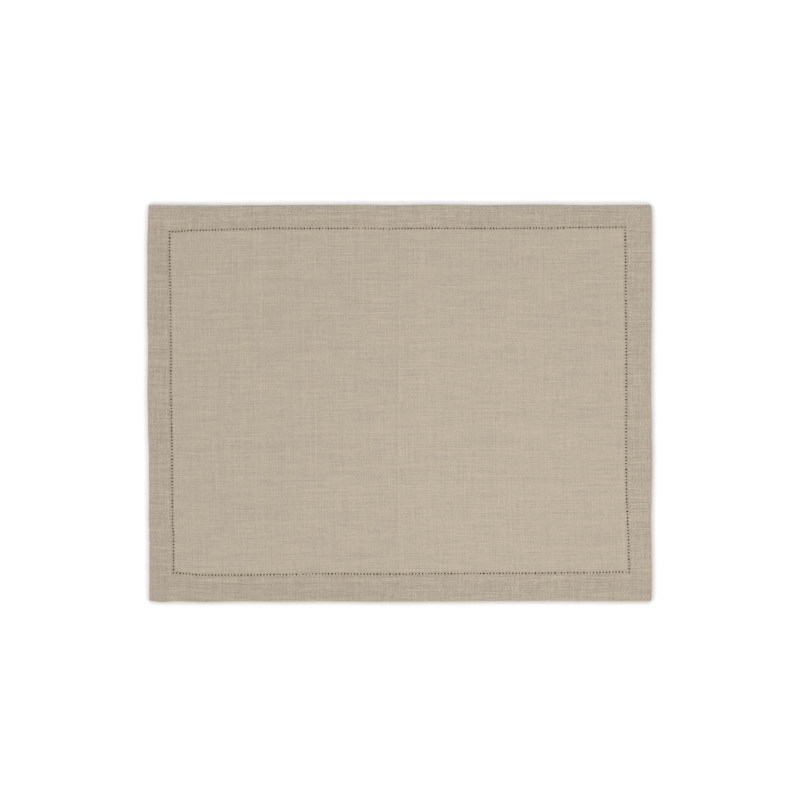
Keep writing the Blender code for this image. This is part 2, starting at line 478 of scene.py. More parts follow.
def fold_rise(fold, x, y):
    """What one ridge or trough adds to the height at each point."""
    run_x = (fold.x1 - fold.x0) * MM
    run_y = (fold.y1 - fold.y0) * MM
    from_x = x - fold.x0 * MM
    from_y = y - fold.y0 * MM
    share = (from_x * run_x + from_y * run_y) / (run_x * run_x + run_y * run_y)
    share = np.clip(share, 0.0, 1.0)
    off = np.hypot(from_x - run_x * share, from_y - run_y * share)
    nearness = np.clip(1 - (off / (fold.half_width * MM)) ** 2, 0.0, None)
    return fold.rise * MM * nearness * nearness


def depth_of(nominal):
    """How far in from the nearest outer edge each nominal point lies."""
    from_sides = np.array([MAT_LENGTH / 2, MAT_WIDTH / 2]) - np.abs(nominal[:, :2])
    return from_sides.min(axis=1)


def ground_plan(nominal):
    """Real x and y of nominal points, before the mat is centred."""
    x = placed(nominal[:, 0], MAT_LENGTH, LEFT_SIDE, RIGHT_SIDE, nominal[:, 1])
    y = placed(nominal[:, 1], MAT_WIDTH, BOTTOM_SIDE, TOP_SIDE, nominal[:, 0])
    return x, y


def laid(nominal, section):
    """Nominal points laid on the mat's right side, with its hems, folds and creases."""
    x, y = ground_plan(nominal)
    depth = depth_of(nominal)
    inland = np.clip(depth / EDGE_EASE, 0.0, 1.0)
    folds = sum(fold_rise(fold, x, y) for fold in FOLDS + FINE_FOLDS)
    height = read(section, depth, "height") + inland * folds
    return np.column_stack((x - MIDDLE_X, y, height))


def painted_light_and_tone(x, y):
    """Tone of the cloth at each point, about one: soft changes, many of them painted light and
    shade.
    """
    tone = BASE_TONE + PRESS_LIGHT_STEP / 2 * np.tanh((x - CREASE_X) / PRESS_REACH)
    straight = np.column_stack((x, y))
    off_row = np.abs(depth_of(straight) - HEM_WIDTH)
    tone += ROW_PAINTED_LIGHT * np.exp(-((off_row / ROW_REACH) ** 2))
    for row in LIGHT_AND_TONE_SPOTS:
        off = ((x / MM - row.x) / row.reach_x) ** 2 + ((y / MM - row.y) / row.reach_y) ** 2
        tone += row.change * np.exp(-off)
    return tone


# Meshes


def spots_of(verts):
    """Coordinates of bmesh vertices as an array."""
    return np.array([vert.co[:] for vert in verts])


def put(verts, spots):
    """Moves bmesh vertices to the spots."""
    for vert, spot in zip(verts, spots):
        vert.co = spot


def grid_on(sheet, columns, rows):
    """A grid with its lines at the given nominal places."""
    bmesh.ops.create_grid(
        sheet, x_segments=len(columns) - 1, y_segments=len(rows) - 1, size=1, calc_uvs=False
    )
    for vert in sheet.verts:
        column = round((vert.co.x + 1) / 2 * (len(columns) - 1))
        row = round((vert.co.y + 1) / 2 * (len(rows) - 1))
        vert.co = (columns[column], rows[row], 0.0)


def places_of(mesh):
    """Coordinates of a mesh's vertices as an array."""
    spots = np.zeros(len(mesh.vertices) * 3, np.float32)
    mesh.vertices.foreach_get("co", spots)
    return spots.reshape(-1, 3)


def write_mark(mesh, name, values):
    """Writes one value for each vertex, for the materials to read."""
    marks = mesh.attributes.get(name) or mesh.attributes.new(name, "FLOAT", "POINT")
    marks.data.foreach_set("value", np.asarray(values, np.float32))


def sort_faces(sheet):
    """Puts the faces in the order of their corners: extrusion leaves its walls in a chance one."""
    sheet.verts.index_update()
    count = len(sheet.verts)

    def rank(face):
        numbers = sorted(vert.index for vert in face.verts)
        return (numbers[0] * count + numbers[1]) * count + numbers[-1]

    sheet.faces.sort(key=rank)


def finish_piece(sheet, name, material):
    """Makes a piece of the placemat from a bmesh and gives it its tone, with painted light and shade
    in it.
    """
    bmesh.ops.recalc_face_normals(sheet, faces=sheet.faces[:])
    sort_faces(sheet)
    mesh = bpy.data.meshes.new(name)
    sheet.to_mesh(mesh)
    sheet.free()
    mesh.shade_smooth()
    mesh.materials.append(material)
    spots = places_of(mesh)
    # The tone mark carries painted light and shade as well as the cloth's tone
    write_mark(mesh, "tone", painted_light_and_tone(spots[:, 0], spots[:, 1]))
    piece = bpy.data.objects.new(name, mesh)
    bpy.context.scene.collection.objects.link(piece)
    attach(piece, "root")
    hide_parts("placemat")
    return piece


def round_the_fold(mesh, straight, height, corners):
    """Grain map of each face's corners: the cloth goes on over the outer fold and under the mat,
    from the side that the face lies nearest to."""
    totals = np.zeros(len(mesh.polygons), np.int32)
    mesh.polygons.foreach_get("loop_total", totals)
    starts = np.concatenate(([0], np.cumsum(totals)[:-1]))
    middles = np.add.reduceat(straight[corners], starts) / totals[:, None]
    half_size = np.array([MAT_LENGTH / 2, MAT_WIDTH / 2])
    axis = np.repeat(np.argmin(half_size - np.abs(middles), axis=1), totals)
    row = np.arange(len(corners))
    map_spots = straight[corners]
    from_side = half_size[axis] - np.abs(map_spots[row, axis])
    near, level = depth_of(straight)[corners] < FOLD_REACH, height[corners]
    turned = (level < TURNED_TOP) | (near & (level < FOLD_MIDDLE))
    drop = np.clip(FOLD_TOP - level, 0.0, None)
    unrolled = half_size[axis] + np.where(turned, from_side, -from_side) + drop
    unrolled *= np.sign(map_spots[row, axis])
    map_spots[row, axis] = np.where(turned | near, unrolled, map_spots[row, axis])
    return map_spots.astype(np.float32)


def add_grain(mesh):
    """Gives the cloth its grain map, in metres, in which its yarns run straight, and marks where
    it is doubled and where it lies in shade."""
    spots = places_of(mesh)
    x, y, height = spots[:, 0] + MIDDLE_X, spots[:, 1], spots[:, 2]
    across = woven(x, MAT_LENGTH, LEFT_SIDE, RIGHT_SIDE, y)
    up = woven(y, MAT_WIDTH, BOTTOM_SIDE, TOP_SIDE, x)
    straight = np.column_stack((across, up))
    corners = np.zeros(len(mesh.loops), np.int32)
    mesh.loops.foreach_get("vertex_index", corners)
    map_spots = round_the_fold(mesh, straight, height, corners)
    mesh.uv_layers.new(name="grain").data.foreach_set("uv", map_spots.ravel())
    depth = depth_of(straight)
    write_mark(mesh, "doubled", (depth < HEM_WIDTH) | (height < TURNED_TOP))
    # Painted shade: the pit of the open row, under the holes, is darkened in colour
    in_row = (depth > PIT_START) & (depth < PIT_END)
    write_mark(mesh, "pit", in_row & (height < PIT_TOP) & (height > PIT_FLOOR))
    # The tone mark carries painted light and shade as well as the cloth's tone
    tone = painted_light_and_tone(spots[:, 0], spots[:, 1])
    # Painted shade on the round of the outer fold, under the mat's edge
    tone[(depth < RIM_DEPTH) & (height < RIM_TOP)] *= RIM_PAINTED_SHADE
    write_mark(mesh, "tone", tone)


def add_bake_map(mesh):
    """A flat map for textures: the right side at full size, the underside squeezed below it."""
    spots = places_of(mesh)
    low, high = spots.min(axis=0), spots.max(axis=0)
    scale = (1 - 2 * MAP_MARGIN) / (high[0] - low[0])
    tall = (high[1] - low[1]) * scale
    squeeze = (1 - 4 * MAP_MARGIN - tall) / tall
    flat = mesh.uv_layers.new(name="OFBake")
    for face in mesh.polygons:
        for corner in face.loop_indices:
            spot = (spots[mesh.loops[corner].vertex_index] - low) * scale
            if face.normal.z < UNDER_SLOPE:
                place = (MAP_MARGIN + spot[0], MAP_MARGIN + spot[1] * squeeze)
            else:
                place = (MAP_MARGIN + spot[0], 1 - MAP_MARGIN - tall + spot[1])
            flat.data[corner].uv = place


# Materials


def add(tree, kind, inputs=None, **settings):
    """A shader node with its settings made and its inputs joined or filled."""
    node = tree.nodes.new("ShaderNode" + kind)
    for name, value in settings.items():
        setattr(node, name, value)
    for key, value in (inputs or {}).items():
        if isinstance(value, bpy.types.NodeSocket):
            tree.links.new(value, node.inputs[key])
        else:
            node.inputs[key].default_value = value
    return node


def calc(tree, operation, first, second=0.0, third=0.0):
    """The result of one Math node."""
    inputs = {0: first, 1: second, 2: third}
    return add(tree, "Math", inputs, operation=operation).outputs[0]


def speckle(tree, spot, scale, detail=2.0, roughness=0.5):
    """A noise between about nought and one, read at a spot."""
    inputs = {"Vector": spot, "Scale": scale, "Detail": detail, "Roughness": roughness}
    return add(tree, "TexNoise", inputs).outputs["Fac"]


def spot_at(tree, x, y, z=0.0):
    """A vector made of three values."""
    return add(tree, "CombineXYZ", {0: x, 1: y, 2: z}).outputs[0]


def mark(tree, name):
    """A value carried by the mesh."""
    return add(tree, "Attribute", attribute_name=name).outputs["Fac"]


Yarns = namedtuple("Yarns", "count number off slow quick fibre")


def yarn_set(tree, across, along, pitch, streak, start):
    """One set of parallel yarns: each one's number, the place off its middle from -0.5 to 0.5, and
    its unevenness about nought: in long stretches, in short ones and from fibre to fibre."""
    count = calc(tree, "DIVIDE", across, pitch)
    number = calc(tree, "FLOOR", count)
    off = calc(tree, "SUBTRACT", calc(tree, "SUBTRACT", count, number), 0.5)
    row = calc(tree, "MULTIPLY_ADD", number, YARN_STEP, start)
    far = spot_at(tree, calc(tree, "DIVIDE", along, streak), row)
    near_row = calc(tree, "ADD", row, QUICK_STEP)
    near = spot_at(tree, calc(tree, "DIVIDE", along, QUICK_STREAK), near_row)
    slow = calc(tree, "SUBTRACT", speckle(tree, far, 1.0, 2.0, 0.5), 0.5)
    quick = calc(tree, "SUBTRACT", speckle(tree, near, 1.0, 2.0, 0.6), 0.5)
    fibres = calc(tree, "MULTIPLY", count, FIBRES_ACROSS)
    twist = calc(tree, "MULTIPLY_ADD", along, TWIST_SLANT, fibres)
    fine = spot_at(tree, calc(tree, "DIVIDE", along, FIBRE_LENGTH), twist)
    fibre = calc(tree, "SUBTRACT", speckle(tree, fine, 1.0, 2.0, 0.6), 0.5)
    return Yarns(count, number, off, slow, quick, fibre)


def yarn_height(tree, yarns, other_off, side):
    """How high a yarn stands: round across it, and rising over or dipping under the other yarns.
    Side is 1 where it passes over and -1 where it passes under."""
    bow = calc(tree, "COSINE", calc(tree, "MULTIPLY", other_off, pi))
    lift = calc(tree, "MULTIPLY", calc(tree, "MULTIPLY", bow, side), YARN_LIFT)
    breadth = calc(tree, "MULTIPLY_ADD", yarns.slow, SLUB_BREADTH, YARN_BREADTH)
    share = calc(tree, "DIVIDE", calc(tree, "MULTIPLY", yarns.off, 2.0), breadth)
    left = calc(tree, "SUBTRACT", 1.0, calc(tree, "MULTIPLY", share, share))
    rounded = calc(tree, "SQRT", calc(tree, "MAXIMUM", left, 0.0))
    return calc(tree, "MULTIPLY_ADD", rounded, 1.0 - YARN_LIFT, lift)


def lone(tree, number, start):
    """A chance value about nought that belongs to one yarn."""
    inputs = {"W": calc(tree, "ADD", number, start)}
    value = add(tree, "TexWhiteNoise", inputs, noise_dimensions="1D").outputs["Value"]
    return calc(tree, "SUBTRACT", value, 0.5)


def dent_line(tree, count):
    """One across the first of every four yarns, where two groups of yarns stand apart."""
    place = calc(tree, "FLOORED_MODULO", count, DENT_YARNS)
    return calc(tree, "LESS_THAN", place, 1.0)


def weighed(tree, *terms):
    """The sum of values, each times its weight."""
    total = None
    for value, weight in terms:
        total = calc(tree, "MULTIPLY_ADD", value, weight, 0.0 if total is None else total)
    return total


def yarn_tone(tree, yarns, own, shares):
    """How a set of yarns changes the tone: all kinds of unevenness, each by its share."""
    kinds = (yarns.slow, yarns.quick, own, yarns.fibre)
    return weighed(tree, *zip(kinds, shares))


def matt_material(name, colour, gloss, sheen):
    """A new material with its node tree and its shader, as matt as cloth is."""
    material = bpy.data.materials.new(name)
    material.use_nodes = True
    material.diffuse_color = (*colour, 1.0)
    shader = material.node_tree.nodes["Principled BSDF"]
    shader.inputs["Specular IOR Level"].default_value = gloss
    shader.inputs["Sheen Weight"].default_value = sheen
    return material, material.node_tree, shader


def linen_material(cloth):
    """Plain-woven linen: weft and warp yarns pass over and under each other, each uneven along
    its length, with light slubs. Doubled cloth is darker, and its unevenness shows more."""
    material, tree, shader = matt_material("linen", cloth.colour, LINEN_GLOSS, LINEN_SHEEN)
    doubled = mark(tree, "doubled")
    # The yarns' coordinates, which wander a little from the straight
    grain = add(tree, "UVMap", uv_map="grain").outputs["UV"]
    object_spot = add(tree, "TexCoord").outputs["Object"]
    drift = add(tree, "TexNoise", {"Vector": object_spot, "Scale": WANDER_SCALE, "Detail": 1.0})
    inputs = {0: drift.outputs["Color"], 1: (0.5, 0.5, 0.5)}
    wander = add(tree, "VectorMath", inputs, operation="SUBTRACT").outputs[0]
    inputs = {0: wander, 1: (YARN_WANDER,) * 3, 2: grain}
    spot = add(tree, "VectorMath", inputs, operation="MULTIPLY_ADD").outputs[0]
    parts = add(tree, "SeparateXYZ", {0: spot}).outputs
    weft = yarn_set(tree, parts[1], parts[0], cloth.weft_pitch, WEFT_STREAK, WEFT_START)
    warp = yarn_set(tree, parts[0], parts[1], cloth.warp_pitch, WARP_STREAK, WARP_START)
    # The weft lies over the warp at every other crossing; each yarn that is on top shows its own
    # unevenness, and each crossing a little more
    both = calc(tree, "ADD", weft.number, warp.number)
    odd = calc(tree, "FLOORED_MODULO", both, 2.0)
    weft_side = calc(tree, "MULTIPLY_ADD", odd, -2.0, 1.0)
    warp_side = calc(tree, "MULTIPLY_ADD", odd, 2.0, -1.0)
    weft_height = yarn_height(tree, weft, warp.off, weft_side)
    warp_height = yarn_height(tree, warp, weft.off, warp_side)
    over = calc(tree, "GREATER_THAN", warp_height, weft_height)
    bulge = calc(tree, "MAXIMUM", warp_height, weft_height)
    weft_tone = yarn_tone(tree, weft, lone(tree, weft.number, 0.0), WEFT_SHARES)
    warp_tone = yarn_tone(tree, warp, lone(tree, warp.number, 0.5), WARP_SHARES)
    uneven = add(tree, "Mix", {"Factor": over, "A": weft_tone, "B": warp_tone}).outputs["Result"]
    spots = {"Vector": spot_at(tree, warp.number, weft.number)}
    crossing = add(tree, "TexWhiteNoise", spots, noise_dimensions="2D").outputs["Value"]
    grainy = calc(tree, "SUBTRACT", crossing, 0.5)
    # The reed leaves a fine line beside every group of warp yarns; the weft beds down less evenly
    settle = calc(tree, "MULTIPLY_ADD", drift.outputs["Fac"], BEDDING, weft.count)
    warp_dents, weft_dents = dent_line(tree, warp.count), dent_line(tree, settle)
    dents = weighed(tree, (warp_dents, DENT_SHARE), (weft_dents, DENT_SHARE))
    uneven = weighed(tree, (uneven, 1.0), (grainy, CROSSING_SHARE), (dents, 1.0))
    strength = calc(tree, "MULTIPLY_ADD", doubled, cloth.hem_contrast - 1.0, 1.0)
    uneven = calc(tree, "MULTIPLY", uneven, calc(tree, "MULTIPLY", strength, cloth.contrast))
    # Broad faint patches of the hem, where the lower layer shows
    inputs = {"Vector": spot, "Scale": PATCH_SCALE}
    patch_spot = add(tree, "Mapping", inputs).outputs[0]
    patches = calc(tree, "SUBTRACT", speckle(tree, patch_spot, 1.0, 2.0, 0.5), 0.5)
    patch_weight = calc(tree, "MULTIPLY", doubled, PATCH_SHARE)
    uneven = calc(tree, "MULTIPLY_ADD", patches, patch_weight, uneven)
    # Painted shade: light is lost in the gaps between the yarns, and painted light lies on their
    # rounded tops
    shade = calc(tree, "MULTIPLY_ADD", bulge, TOP_PAINTED_LIGHT, GAP_PAINTED_SHADE)
    level = calc(tree, "MULTIPLY", shade, calc(tree, "ADD", uneven, EVEN_TONE))
    # The tone mark brings painted light and shade into the colour
    level = calc(tree, "MULTIPLY", level, mark(tree, "tone"))
    hem_shade = calc(tree, "MULTIPLY_ADD", doubled, cloth.hem_tone - 1.0, 1.0)
    level = calc(tree, "MULTIPLY", level, hem_shade)
    inputs = {0: tuple(cloth.colour), "Scale": level}
    colour = add(tree, "VectorMath", inputs, operation="SCALE").outputs[0]
    # Some yarns are a little warmer than others
    warmth = add(tree, "Mix", {"Factor": over, "A": weft.slow, "B": warp.slow}).outputs["Result"]
    inputs = {0: spot_at(tree, warmth, warmth, warmth), 1: YARN_WARMTH, 2: colour}
    colour = add(tree, "VectorMath", inputs, operation="MULTIPLY_ADD").outputs[0]
    # Painted shade: little light comes back out of the open row, so its pit is darkened in colour
    pit = mark(tree, "pit")
    lost = tuple(part - 1.0 for part in PIT_SHADE_COLOUR)
    inputs = {0: spot_at(tree, pit, pit, pit), 1: lost, 2: (1.0, 1.0, 1.0)}
    shaded = add(tree, "VectorMath", inputs, operation="MULTIPLY_ADD").outputs[0]
    colour = add(tree, "VectorMath", {0: colour, 1: shaded}, operation="MULTIPLY").outputs[0]
    tree.links.new(colour, shader.inputs["Base Color"])
    # Relief: puckers drawn out along the weft, then the weave itself, fuller where a slub lies
    puckers = speckle(tree, patch_spot, PUCKER_SCALE, 3.0, 0.55)
    depth = calc(tree, "MULTIPLY_ADD", doubled, HEM_PUCKER, PUCKER_DEPTH)
    inputs = {"Height": puckers, "Distance": depth, "Strength": 1.0}
    puckered = add(tree, "Bump", inputs).outputs[0]
    full = calc(tree, "MULTIPLY", bulge, calc(tree, "ADD", uneven, 1.0))
    inputs = {"Height": full, "Distance": cloth.weave_depth, "Strength": 1.0, "Normal": puckered}
    tree.links.new(add(tree, "Bump", inputs).outputs[0], shader.inputs["Normal"])
    rough = calc(tree, "MULTIPLY_ADD", bulge, TOP_ROUGH, LINEN_ROUGH)
    tree.links.new(rough, shader.inputs["Roughness"])
    shader.inputs["Sheen Roughness"].default_value = SHEEN_ROUGH
    return material


def yarn_material(name, colour, fibre_scale, unevenness):
    """Spun linen yarn or thread: fine fibres along it, uneven tone from bundle to bundle."""
    material, tree, shader = matt_material(name, colour, YARN_GLOSS, YARN_SHEEN)
    object_spot = add(tree, "TexCoord").outputs["Object"]
    patch = speckle(tree, object_spot, BUNDLE_PATCHES, 2.0, 0.6)
    fibres = speckle(tree, object_spot, fibre_scale, 3.0, 0.7)
    tone = calc(tree, "MULTIPLY_ADD", patch, unevenness, 1.0 - unevenness / 2)
    fibre_tone = calc(tree, "MULTIPLY_ADD", fibres, FIBRE_TONE, 1.0 - FIBRE_TONE / 2)
    tone = calc(tree, "MULTIPLY", tone, fibre_tone)
    # The tone mark brings painted light and shade into the yarns' colour too
    tone = calc(tree, "MULTIPLY", tone, mark(tree, "tone"))
    colour_out = add(tree, "VectorMath", {0: colour, "Scale": tone}, operation="SCALE").outputs[0]
    tree.links.new(colour_out, shader.inputs["Base Color"])
    bump = add(tree, "Bump", {"Height": fibres, "Distance": FIBRE_DEPTH, "Strength": 0.8})
    tree.links.new(bump.outputs[0], shader.inputs["Normal"])
    rough = calc(tree, "MULTIPLY_ADD", fibres, FIBRE_ROUGH, YARN_ROUGH)
    tree.links.new(rough, shader.inputs["Roughness"])
    return material


# Settings


def length(name, description, low, high, default):
    """A setting that is a length, with its limits and default given in millimetres."""
    low, high, default = low * MM, high * MM, default * MM
    return FloatProperty(
        name=name, description=description, unit="LENGTH", min=low, max=high, default=default
    )


def factor(name, description, low, high, default):
    """A setting that is a share of something, or a plain factor."""
    return FloatProperty(
        name=name, description=description, subtype="FACTOR", min=low, max=high, default=default
    )


class ClothSettings(bpy.types.PropertyGroup):
    """The linen of the mat."""

    colour: FloatVectorProperty(
        name="Linen colour",
        description="Base colour of the field cloth",
        subtype="COLOR",
        size=3,
        min=0.0,
        max=1.0,
        default=[part * warmth for part, warmth in zip(LINEN["base_color"], COLOUR_TRIM)],
    )
    hem_tone: factor(
        "Hem tone", "How light the doubled hem is beside the single cloth of the field",
        0.5, 1.2, 0.945,
    )
    thickness: length("Cloth thickness", "Thickness of one layer of linen", 0.2, 1.2, 0.62)
    weft_pitch: length("Weft pitch", "Distance from one weft yarn to the next", 0.2, 3.0, 0.72)
    warp_pitch: length("Warp pitch", "Distance from one warp yarn to the next", 0.2, 3.0, 0.72)
    contrast: factor("Contrast", "How uneven the yarns are in tone", 0.0, 3.0, 0.64)
    hem_contrast: factor(
        "Hem contrast", "How much more of it shows where the cloth is doubled", 0.5, 3.0, 1.53
    )
    weave_depth: length("Weave depth", "How far the yarns stand out of the weave", 0.0, 0.5, 0.10)
    cell: length("Cell", "Widest spacing of the grid lines in the cloth", 1.0, 20.0, 3.1)


class StitchSettings(bpy.types.PropertyGroup):
    """The drawn-thread row and its sewing."""

    bundle_width: factor(
        "Bundle width", "How far the bundles spread beside the drawn design", 0.5, 1.4, 1.0
    )
    thread: length("Thread", "Diameter of the sewing thread", 0.1, 1.0, 0.34)
    unevenness: factor(
        "Unevenness", "How far bundles stray from even spacing, as a share of the pitch",
        0.0, 0.3, 0.06,
    )
    seed: IntProperty(
        name="Seed",
        description="Picks one set of uneven bundles",
        min=0,
        default=7,
    )


class StudioSettings(bpy.types.PropertyGroup):
    """Camera and light."""

    width: length(
        "Width in view", "How much of the floor the picture takes in from side to side",
        100.0, 5000.0, 766.2
    )
    aim: FloatVectorProperty(
        name="Aim",
        description="The point on the floor at the middle of the picture",
        subtype="XYZ",
        unit="LENGTH",
        size=2,
        default=(0.33 * MM, 2.92 * MM),
    )
    light: FloatProperty(
        name="Light",
        description="Strength of all the studio's light together",
        min=0.0,
        max=5.0,
        default=1.0,
    )
    floor_tone: factor("Floor", "How pale the floor is", 0.0, 1.0, 0.97)


# Pieces


def cloth_lines(size, depths, cell, extra=()):
    """Nominal grid places between the same depths from both outer edges."""
    low = [depth * MM - size / 2 for depth in depths]
    high = [size / 2 - depth * MM for depth in reversed(depths)]
    return fill(low + list(extra) + high, cell)


def crease_lines():
    """Nominal places of the close grid lines over the press crease."""
    return [CREASE_X + off * MM for off in CREASE_STEPS]


def field_sheet(cloth):
    """The field: one layer of linen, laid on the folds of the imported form."""
    depths = [row.depth for row in FIELD_SECTION[:3]] + FIELD_LINES
    sheet = bmesh.new()
    columns = cloth_lines(MAT_LENGTH, depths, cloth.cell, crease_lines())
    grid_on(sheet, columns, cloth_lines(MAT_WIDTH, depths, cloth.cell))
    put(sheet.verts, laid(spots_of(sheet.verts), FIELD_SECTION))
    made = bmesh.ops.extrude_face_region(sheet, geom=sheet.faces[:])["geom"]
    low_verts = [item for item in made if isinstance(item, bmesh.types.BMVert)]
    bmesh.ops.translate(sheet, verts=low_verts, vec=(0.0, 0.0, -cloth.thickness))
    return sheet


def turn_rim(hem, edges, home, section, start_depth):
    """Carries an open rim on through a section's depths and heights, one ring a row."""
    half = np.array([MAT_LENGTH / 2, MAT_WIDTH / 2])
    for row in section:
        made = bmesh.ops.extrude_edge_only(hem, edges=edges)["geom"]
        verts = [item for item in made if isinstance(item, bmesh.types.BMVert)]
        edges = [item for item in made if isinstance(item, bmesh.types.BMEdge) and item.is_boundary]
        fresh = {}
        for vert in verts:
            others = [edge.other_vert(vert) for edge in vert.link_edges]
            fresh[vert] = next(home[other] for other in others if other in home)
        nominal = np.array([fresh[vert] for vert in verts])
        nominal = nominal * (half - row.depth * MM) / (half - start_depth * MM)
        x, y = ground_plan(nominal)
        put(verts, np.column_stack((x - MIDDLE_X, y, np.full(len(x), row.height * MM))))
        home = fresh
    return edges


def draw_in_corners(hem):
    """Draws the outer corners in a little, as the turned fold does."""
    low, high = spots_of(hem.verts).min(axis=0), spots_of(hem.verts).max(axis=0)
    for vert in hem.verts:
        gap_x = min(vert.co.x - low[0], high[0] - vert.co.x)
        gap_y = min(vert.co.y - low[1], high[1] - vert.co.y)
        pull = CORNER_ROUND * max(0.0, 1 - hypot(gap_x, gap_y) / CORNER_REACH)
        vert.co.x -= pull * np.sign(vert.co.x)
        vert.co.y -= pull * np.sign(vert.co.y)


def hem_fold(cloth):
    """The hem: its right side, the round fold, and the turned layer with mitred corners."""
    depths = fill([row.depth for row in HEM_SECTION], HEM_CELL)
    hem = bmesh.new()
    columns = cloth_lines(MAT_LENGTH, depths, cloth.cell, crease_lines())
    grid_on(hem, columns, cloth_lines(MAT_WIDTH, depths, cloth.cell))
    inner_depth = HEM_SECTION[-1].depth
    middles = np.array([face.calc_center_median()[:] for face in hem.faces])
    inside = depth_of(middles) > inner_depth * MM
    faces = [face for face, gone in zip(hem.faces, inside) if gone]
    bmesh.ops.delete(hem, geom=faces, context="FACES")
    nominal = spots_of(hem.verts)
    home = {vert: spot[:2] for vert, spot in zip(hem.verts, nominal)}
    rim = [edge for edge in hem.edges if edge.is_boundary]
    outer = [edge for edge in rim if depth_of(np.array([edge.verts[0].co]))[0] < 1.0 * MM]
    inner = [edge for edge in rim if edge not in outer]
    put(hem.verts, laid(nominal, HEM_SECTION))
    outer = turn_rim(hem, outer, home, UNDER_SECTION, 0.0)
    inner = turn_rim(hem, inner, home, LAYER_SECTION, inner_depth)
    bmesh.ops.bridge_loops(hem, edges=outer + inner)
    if any(edge.is_boundary for edge in hem.edges):
        raise RuntimeError("the hem is still open")
    draw_in_corners(hem)
    return hem


class PLACEMAT_OT_lay_cloth(bpy.types.Operator):
    """Lays the linen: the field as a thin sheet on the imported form's folds, and its own hem"""

    bl_idname = "placemat.lay_cloth"
    bl_label = "Lay the linen"

    def execute(self, context):
        cloth = context.scene.placemat_cloth
        whole = joined([field_sheet(cloth), hem_fold(cloth)])
        piece = finish_piece(whole, "linen_cloth", linen_material(cloth))
        add_grain(piece.data)
        add_bake_map(piece.data)
        return {"FINISHED"}


def row_points(row, shares):
    """Points along one hemstitch row at shares of its length, from corner to corner."""
    half_x = MAT_LENGTH / 2 - HEM_WIDTH
    half_y = MAT_WIDTH / 2 - HEM_WIDTH
    upright = row.side in ("left", "right")
    sign = 1 if row.side in ("top", "right") else -1
    along = (shares * 2 - 1) * (half_y if upright else half_x)
    fixed = np.full(len(along), sign * (half_x if upright else half_y))
    x, y = ground_plan(np.column_stack((fixed, along) if upright else (along, fixed)))
    rise = sum(fold_rise(fold, x, y) for fold in FOLDS + FINE_FOLDS)
    return np.column_stack((x - MIDDLE_X, y, rise)), (y if upright else x)


def frame_at(spot, way, along_scale, across_scale):
    """A matrix that sets a unit out at a spot, with its own Y pointing into the field."""
    way = Vector((way[0], way[1], 0.0)).normalized()
    inward = Vector((-way.y, way.x, 0.0))
    if inward.dot(Vector((spot[0], spot[1], 0.0))) > 0:
        inward = -inward
        way = -way
    turn = Matrix((way, inward, (0.0, 0.0, 1.0))).transposed().to_4x4()
    size = Matrix.Diagonal((along_scale, across_scale, 1.0, 1.0))
    return Matrix.Translation(Vector([float(part) for part in spot])) @ turn @ size


def bundle_places(stitch, uneven):
    """Matrices of the bundles on all four rows. An uneven set also varies in width, with tight
    stretches in it."""
    chance = np.random.default_rng(stitch.seed)
    places = []
    for row in HOLE_ROWS:
        stray = chance.normal(0.0, stitch.unevenness, row.holes)
        steps = np.arange(row.holes) + 0.5
        points, real = row_points(row, (steps + stray) / row.holes)
        ways = np.gradient(row_points(row, steps / row.holes)[0], axis=0)
        widths = 1 + chance.normal(0.0, WIDTH_STRAY, row.holes)
        for tight in TIGHT_STRETCHES:
            if tight.side == row.side:
                inside = (real > tight.start * MM) & (real < tight.end * MM)
                widths[inside] *= tight.spread
        for point, way, width in zip(points, ways, widths):
            pitch = np.linalg.norm(way) / (UNIT_PITCH * MM)
            places.append(frame_at(point, way, pitch * (width if uneven else 1.0), 1.0))
    return places


def draw_yarn(path, half_widths, half_heights, sides):
    """A closed yarn along a path, with its own width and height at each point."""
    points = [Vector(point) for point in path]
    last = len(points) - 1
    yarn = bmesh.new()
    bmesh.ops.create_cone(
        yarn, cap_ends=True, cap_tris=False, segments=sides, radius1=1.0, radius2=1.0, depth=last
    )
    for cut in range(1, last):
        geom = yarn.verts[:] + yarn.edges[:] + yarn.faces[:]
        level = Vector((0.0, 0.0, cut - last / 2))
        bmesh.ops.bisect_plane(
            yarn, geom=geom, dist=0.001, plane_co=level, plane_no=(0.0, 0.0, 1.0)
        )
    for vert in yarn.verts:
        ring = round(vert.co.z + last / 2)
        ahead = (points[min(ring + 1, last)] - points[max(ring - 1, 0)]).normalized()
        beside = ahead.cross(Vector((0.0, 0.0, 1.0)))
        beside = beside.normalized() if beside.length > 0.05 else Vector((1.0, 0.0, 0.0))
        above = beside.cross(ahead)
        spread = beside * vert.co.x * half_widths[ring] + above * vert.co.y * half_heights[ring]
        vert.co = points[ring] + spread
    return yarn


def set_out(units, places):
    """One bmesh with the units' meshes set out at every place, turn and turn about."""
    meshes = []
    for unit in units:
        mesh = bpy.data.meshes.new("unit")
        unit.to_mesh(mesh)
        unit.free()
        meshes.append(mesh)
    whole = bmesh.new()
    for index, place in enumerate(places):
        start = len(whole.verts)
        whole.from_mesh(meshes[index % len(meshes)])
        whole.verts.ensure_lookup_table()
        bmesh.ops.transform(whole, matrix=place, verts=whole.verts[start:])
    for mesh in meshes:
        bpy.data.meshes.remove(mesh)
    return whole


def joined(parts):
    """One bmesh of several."""
    places = [Matrix.Identity(4)] * len(parts)
    return set_out(parts, places)


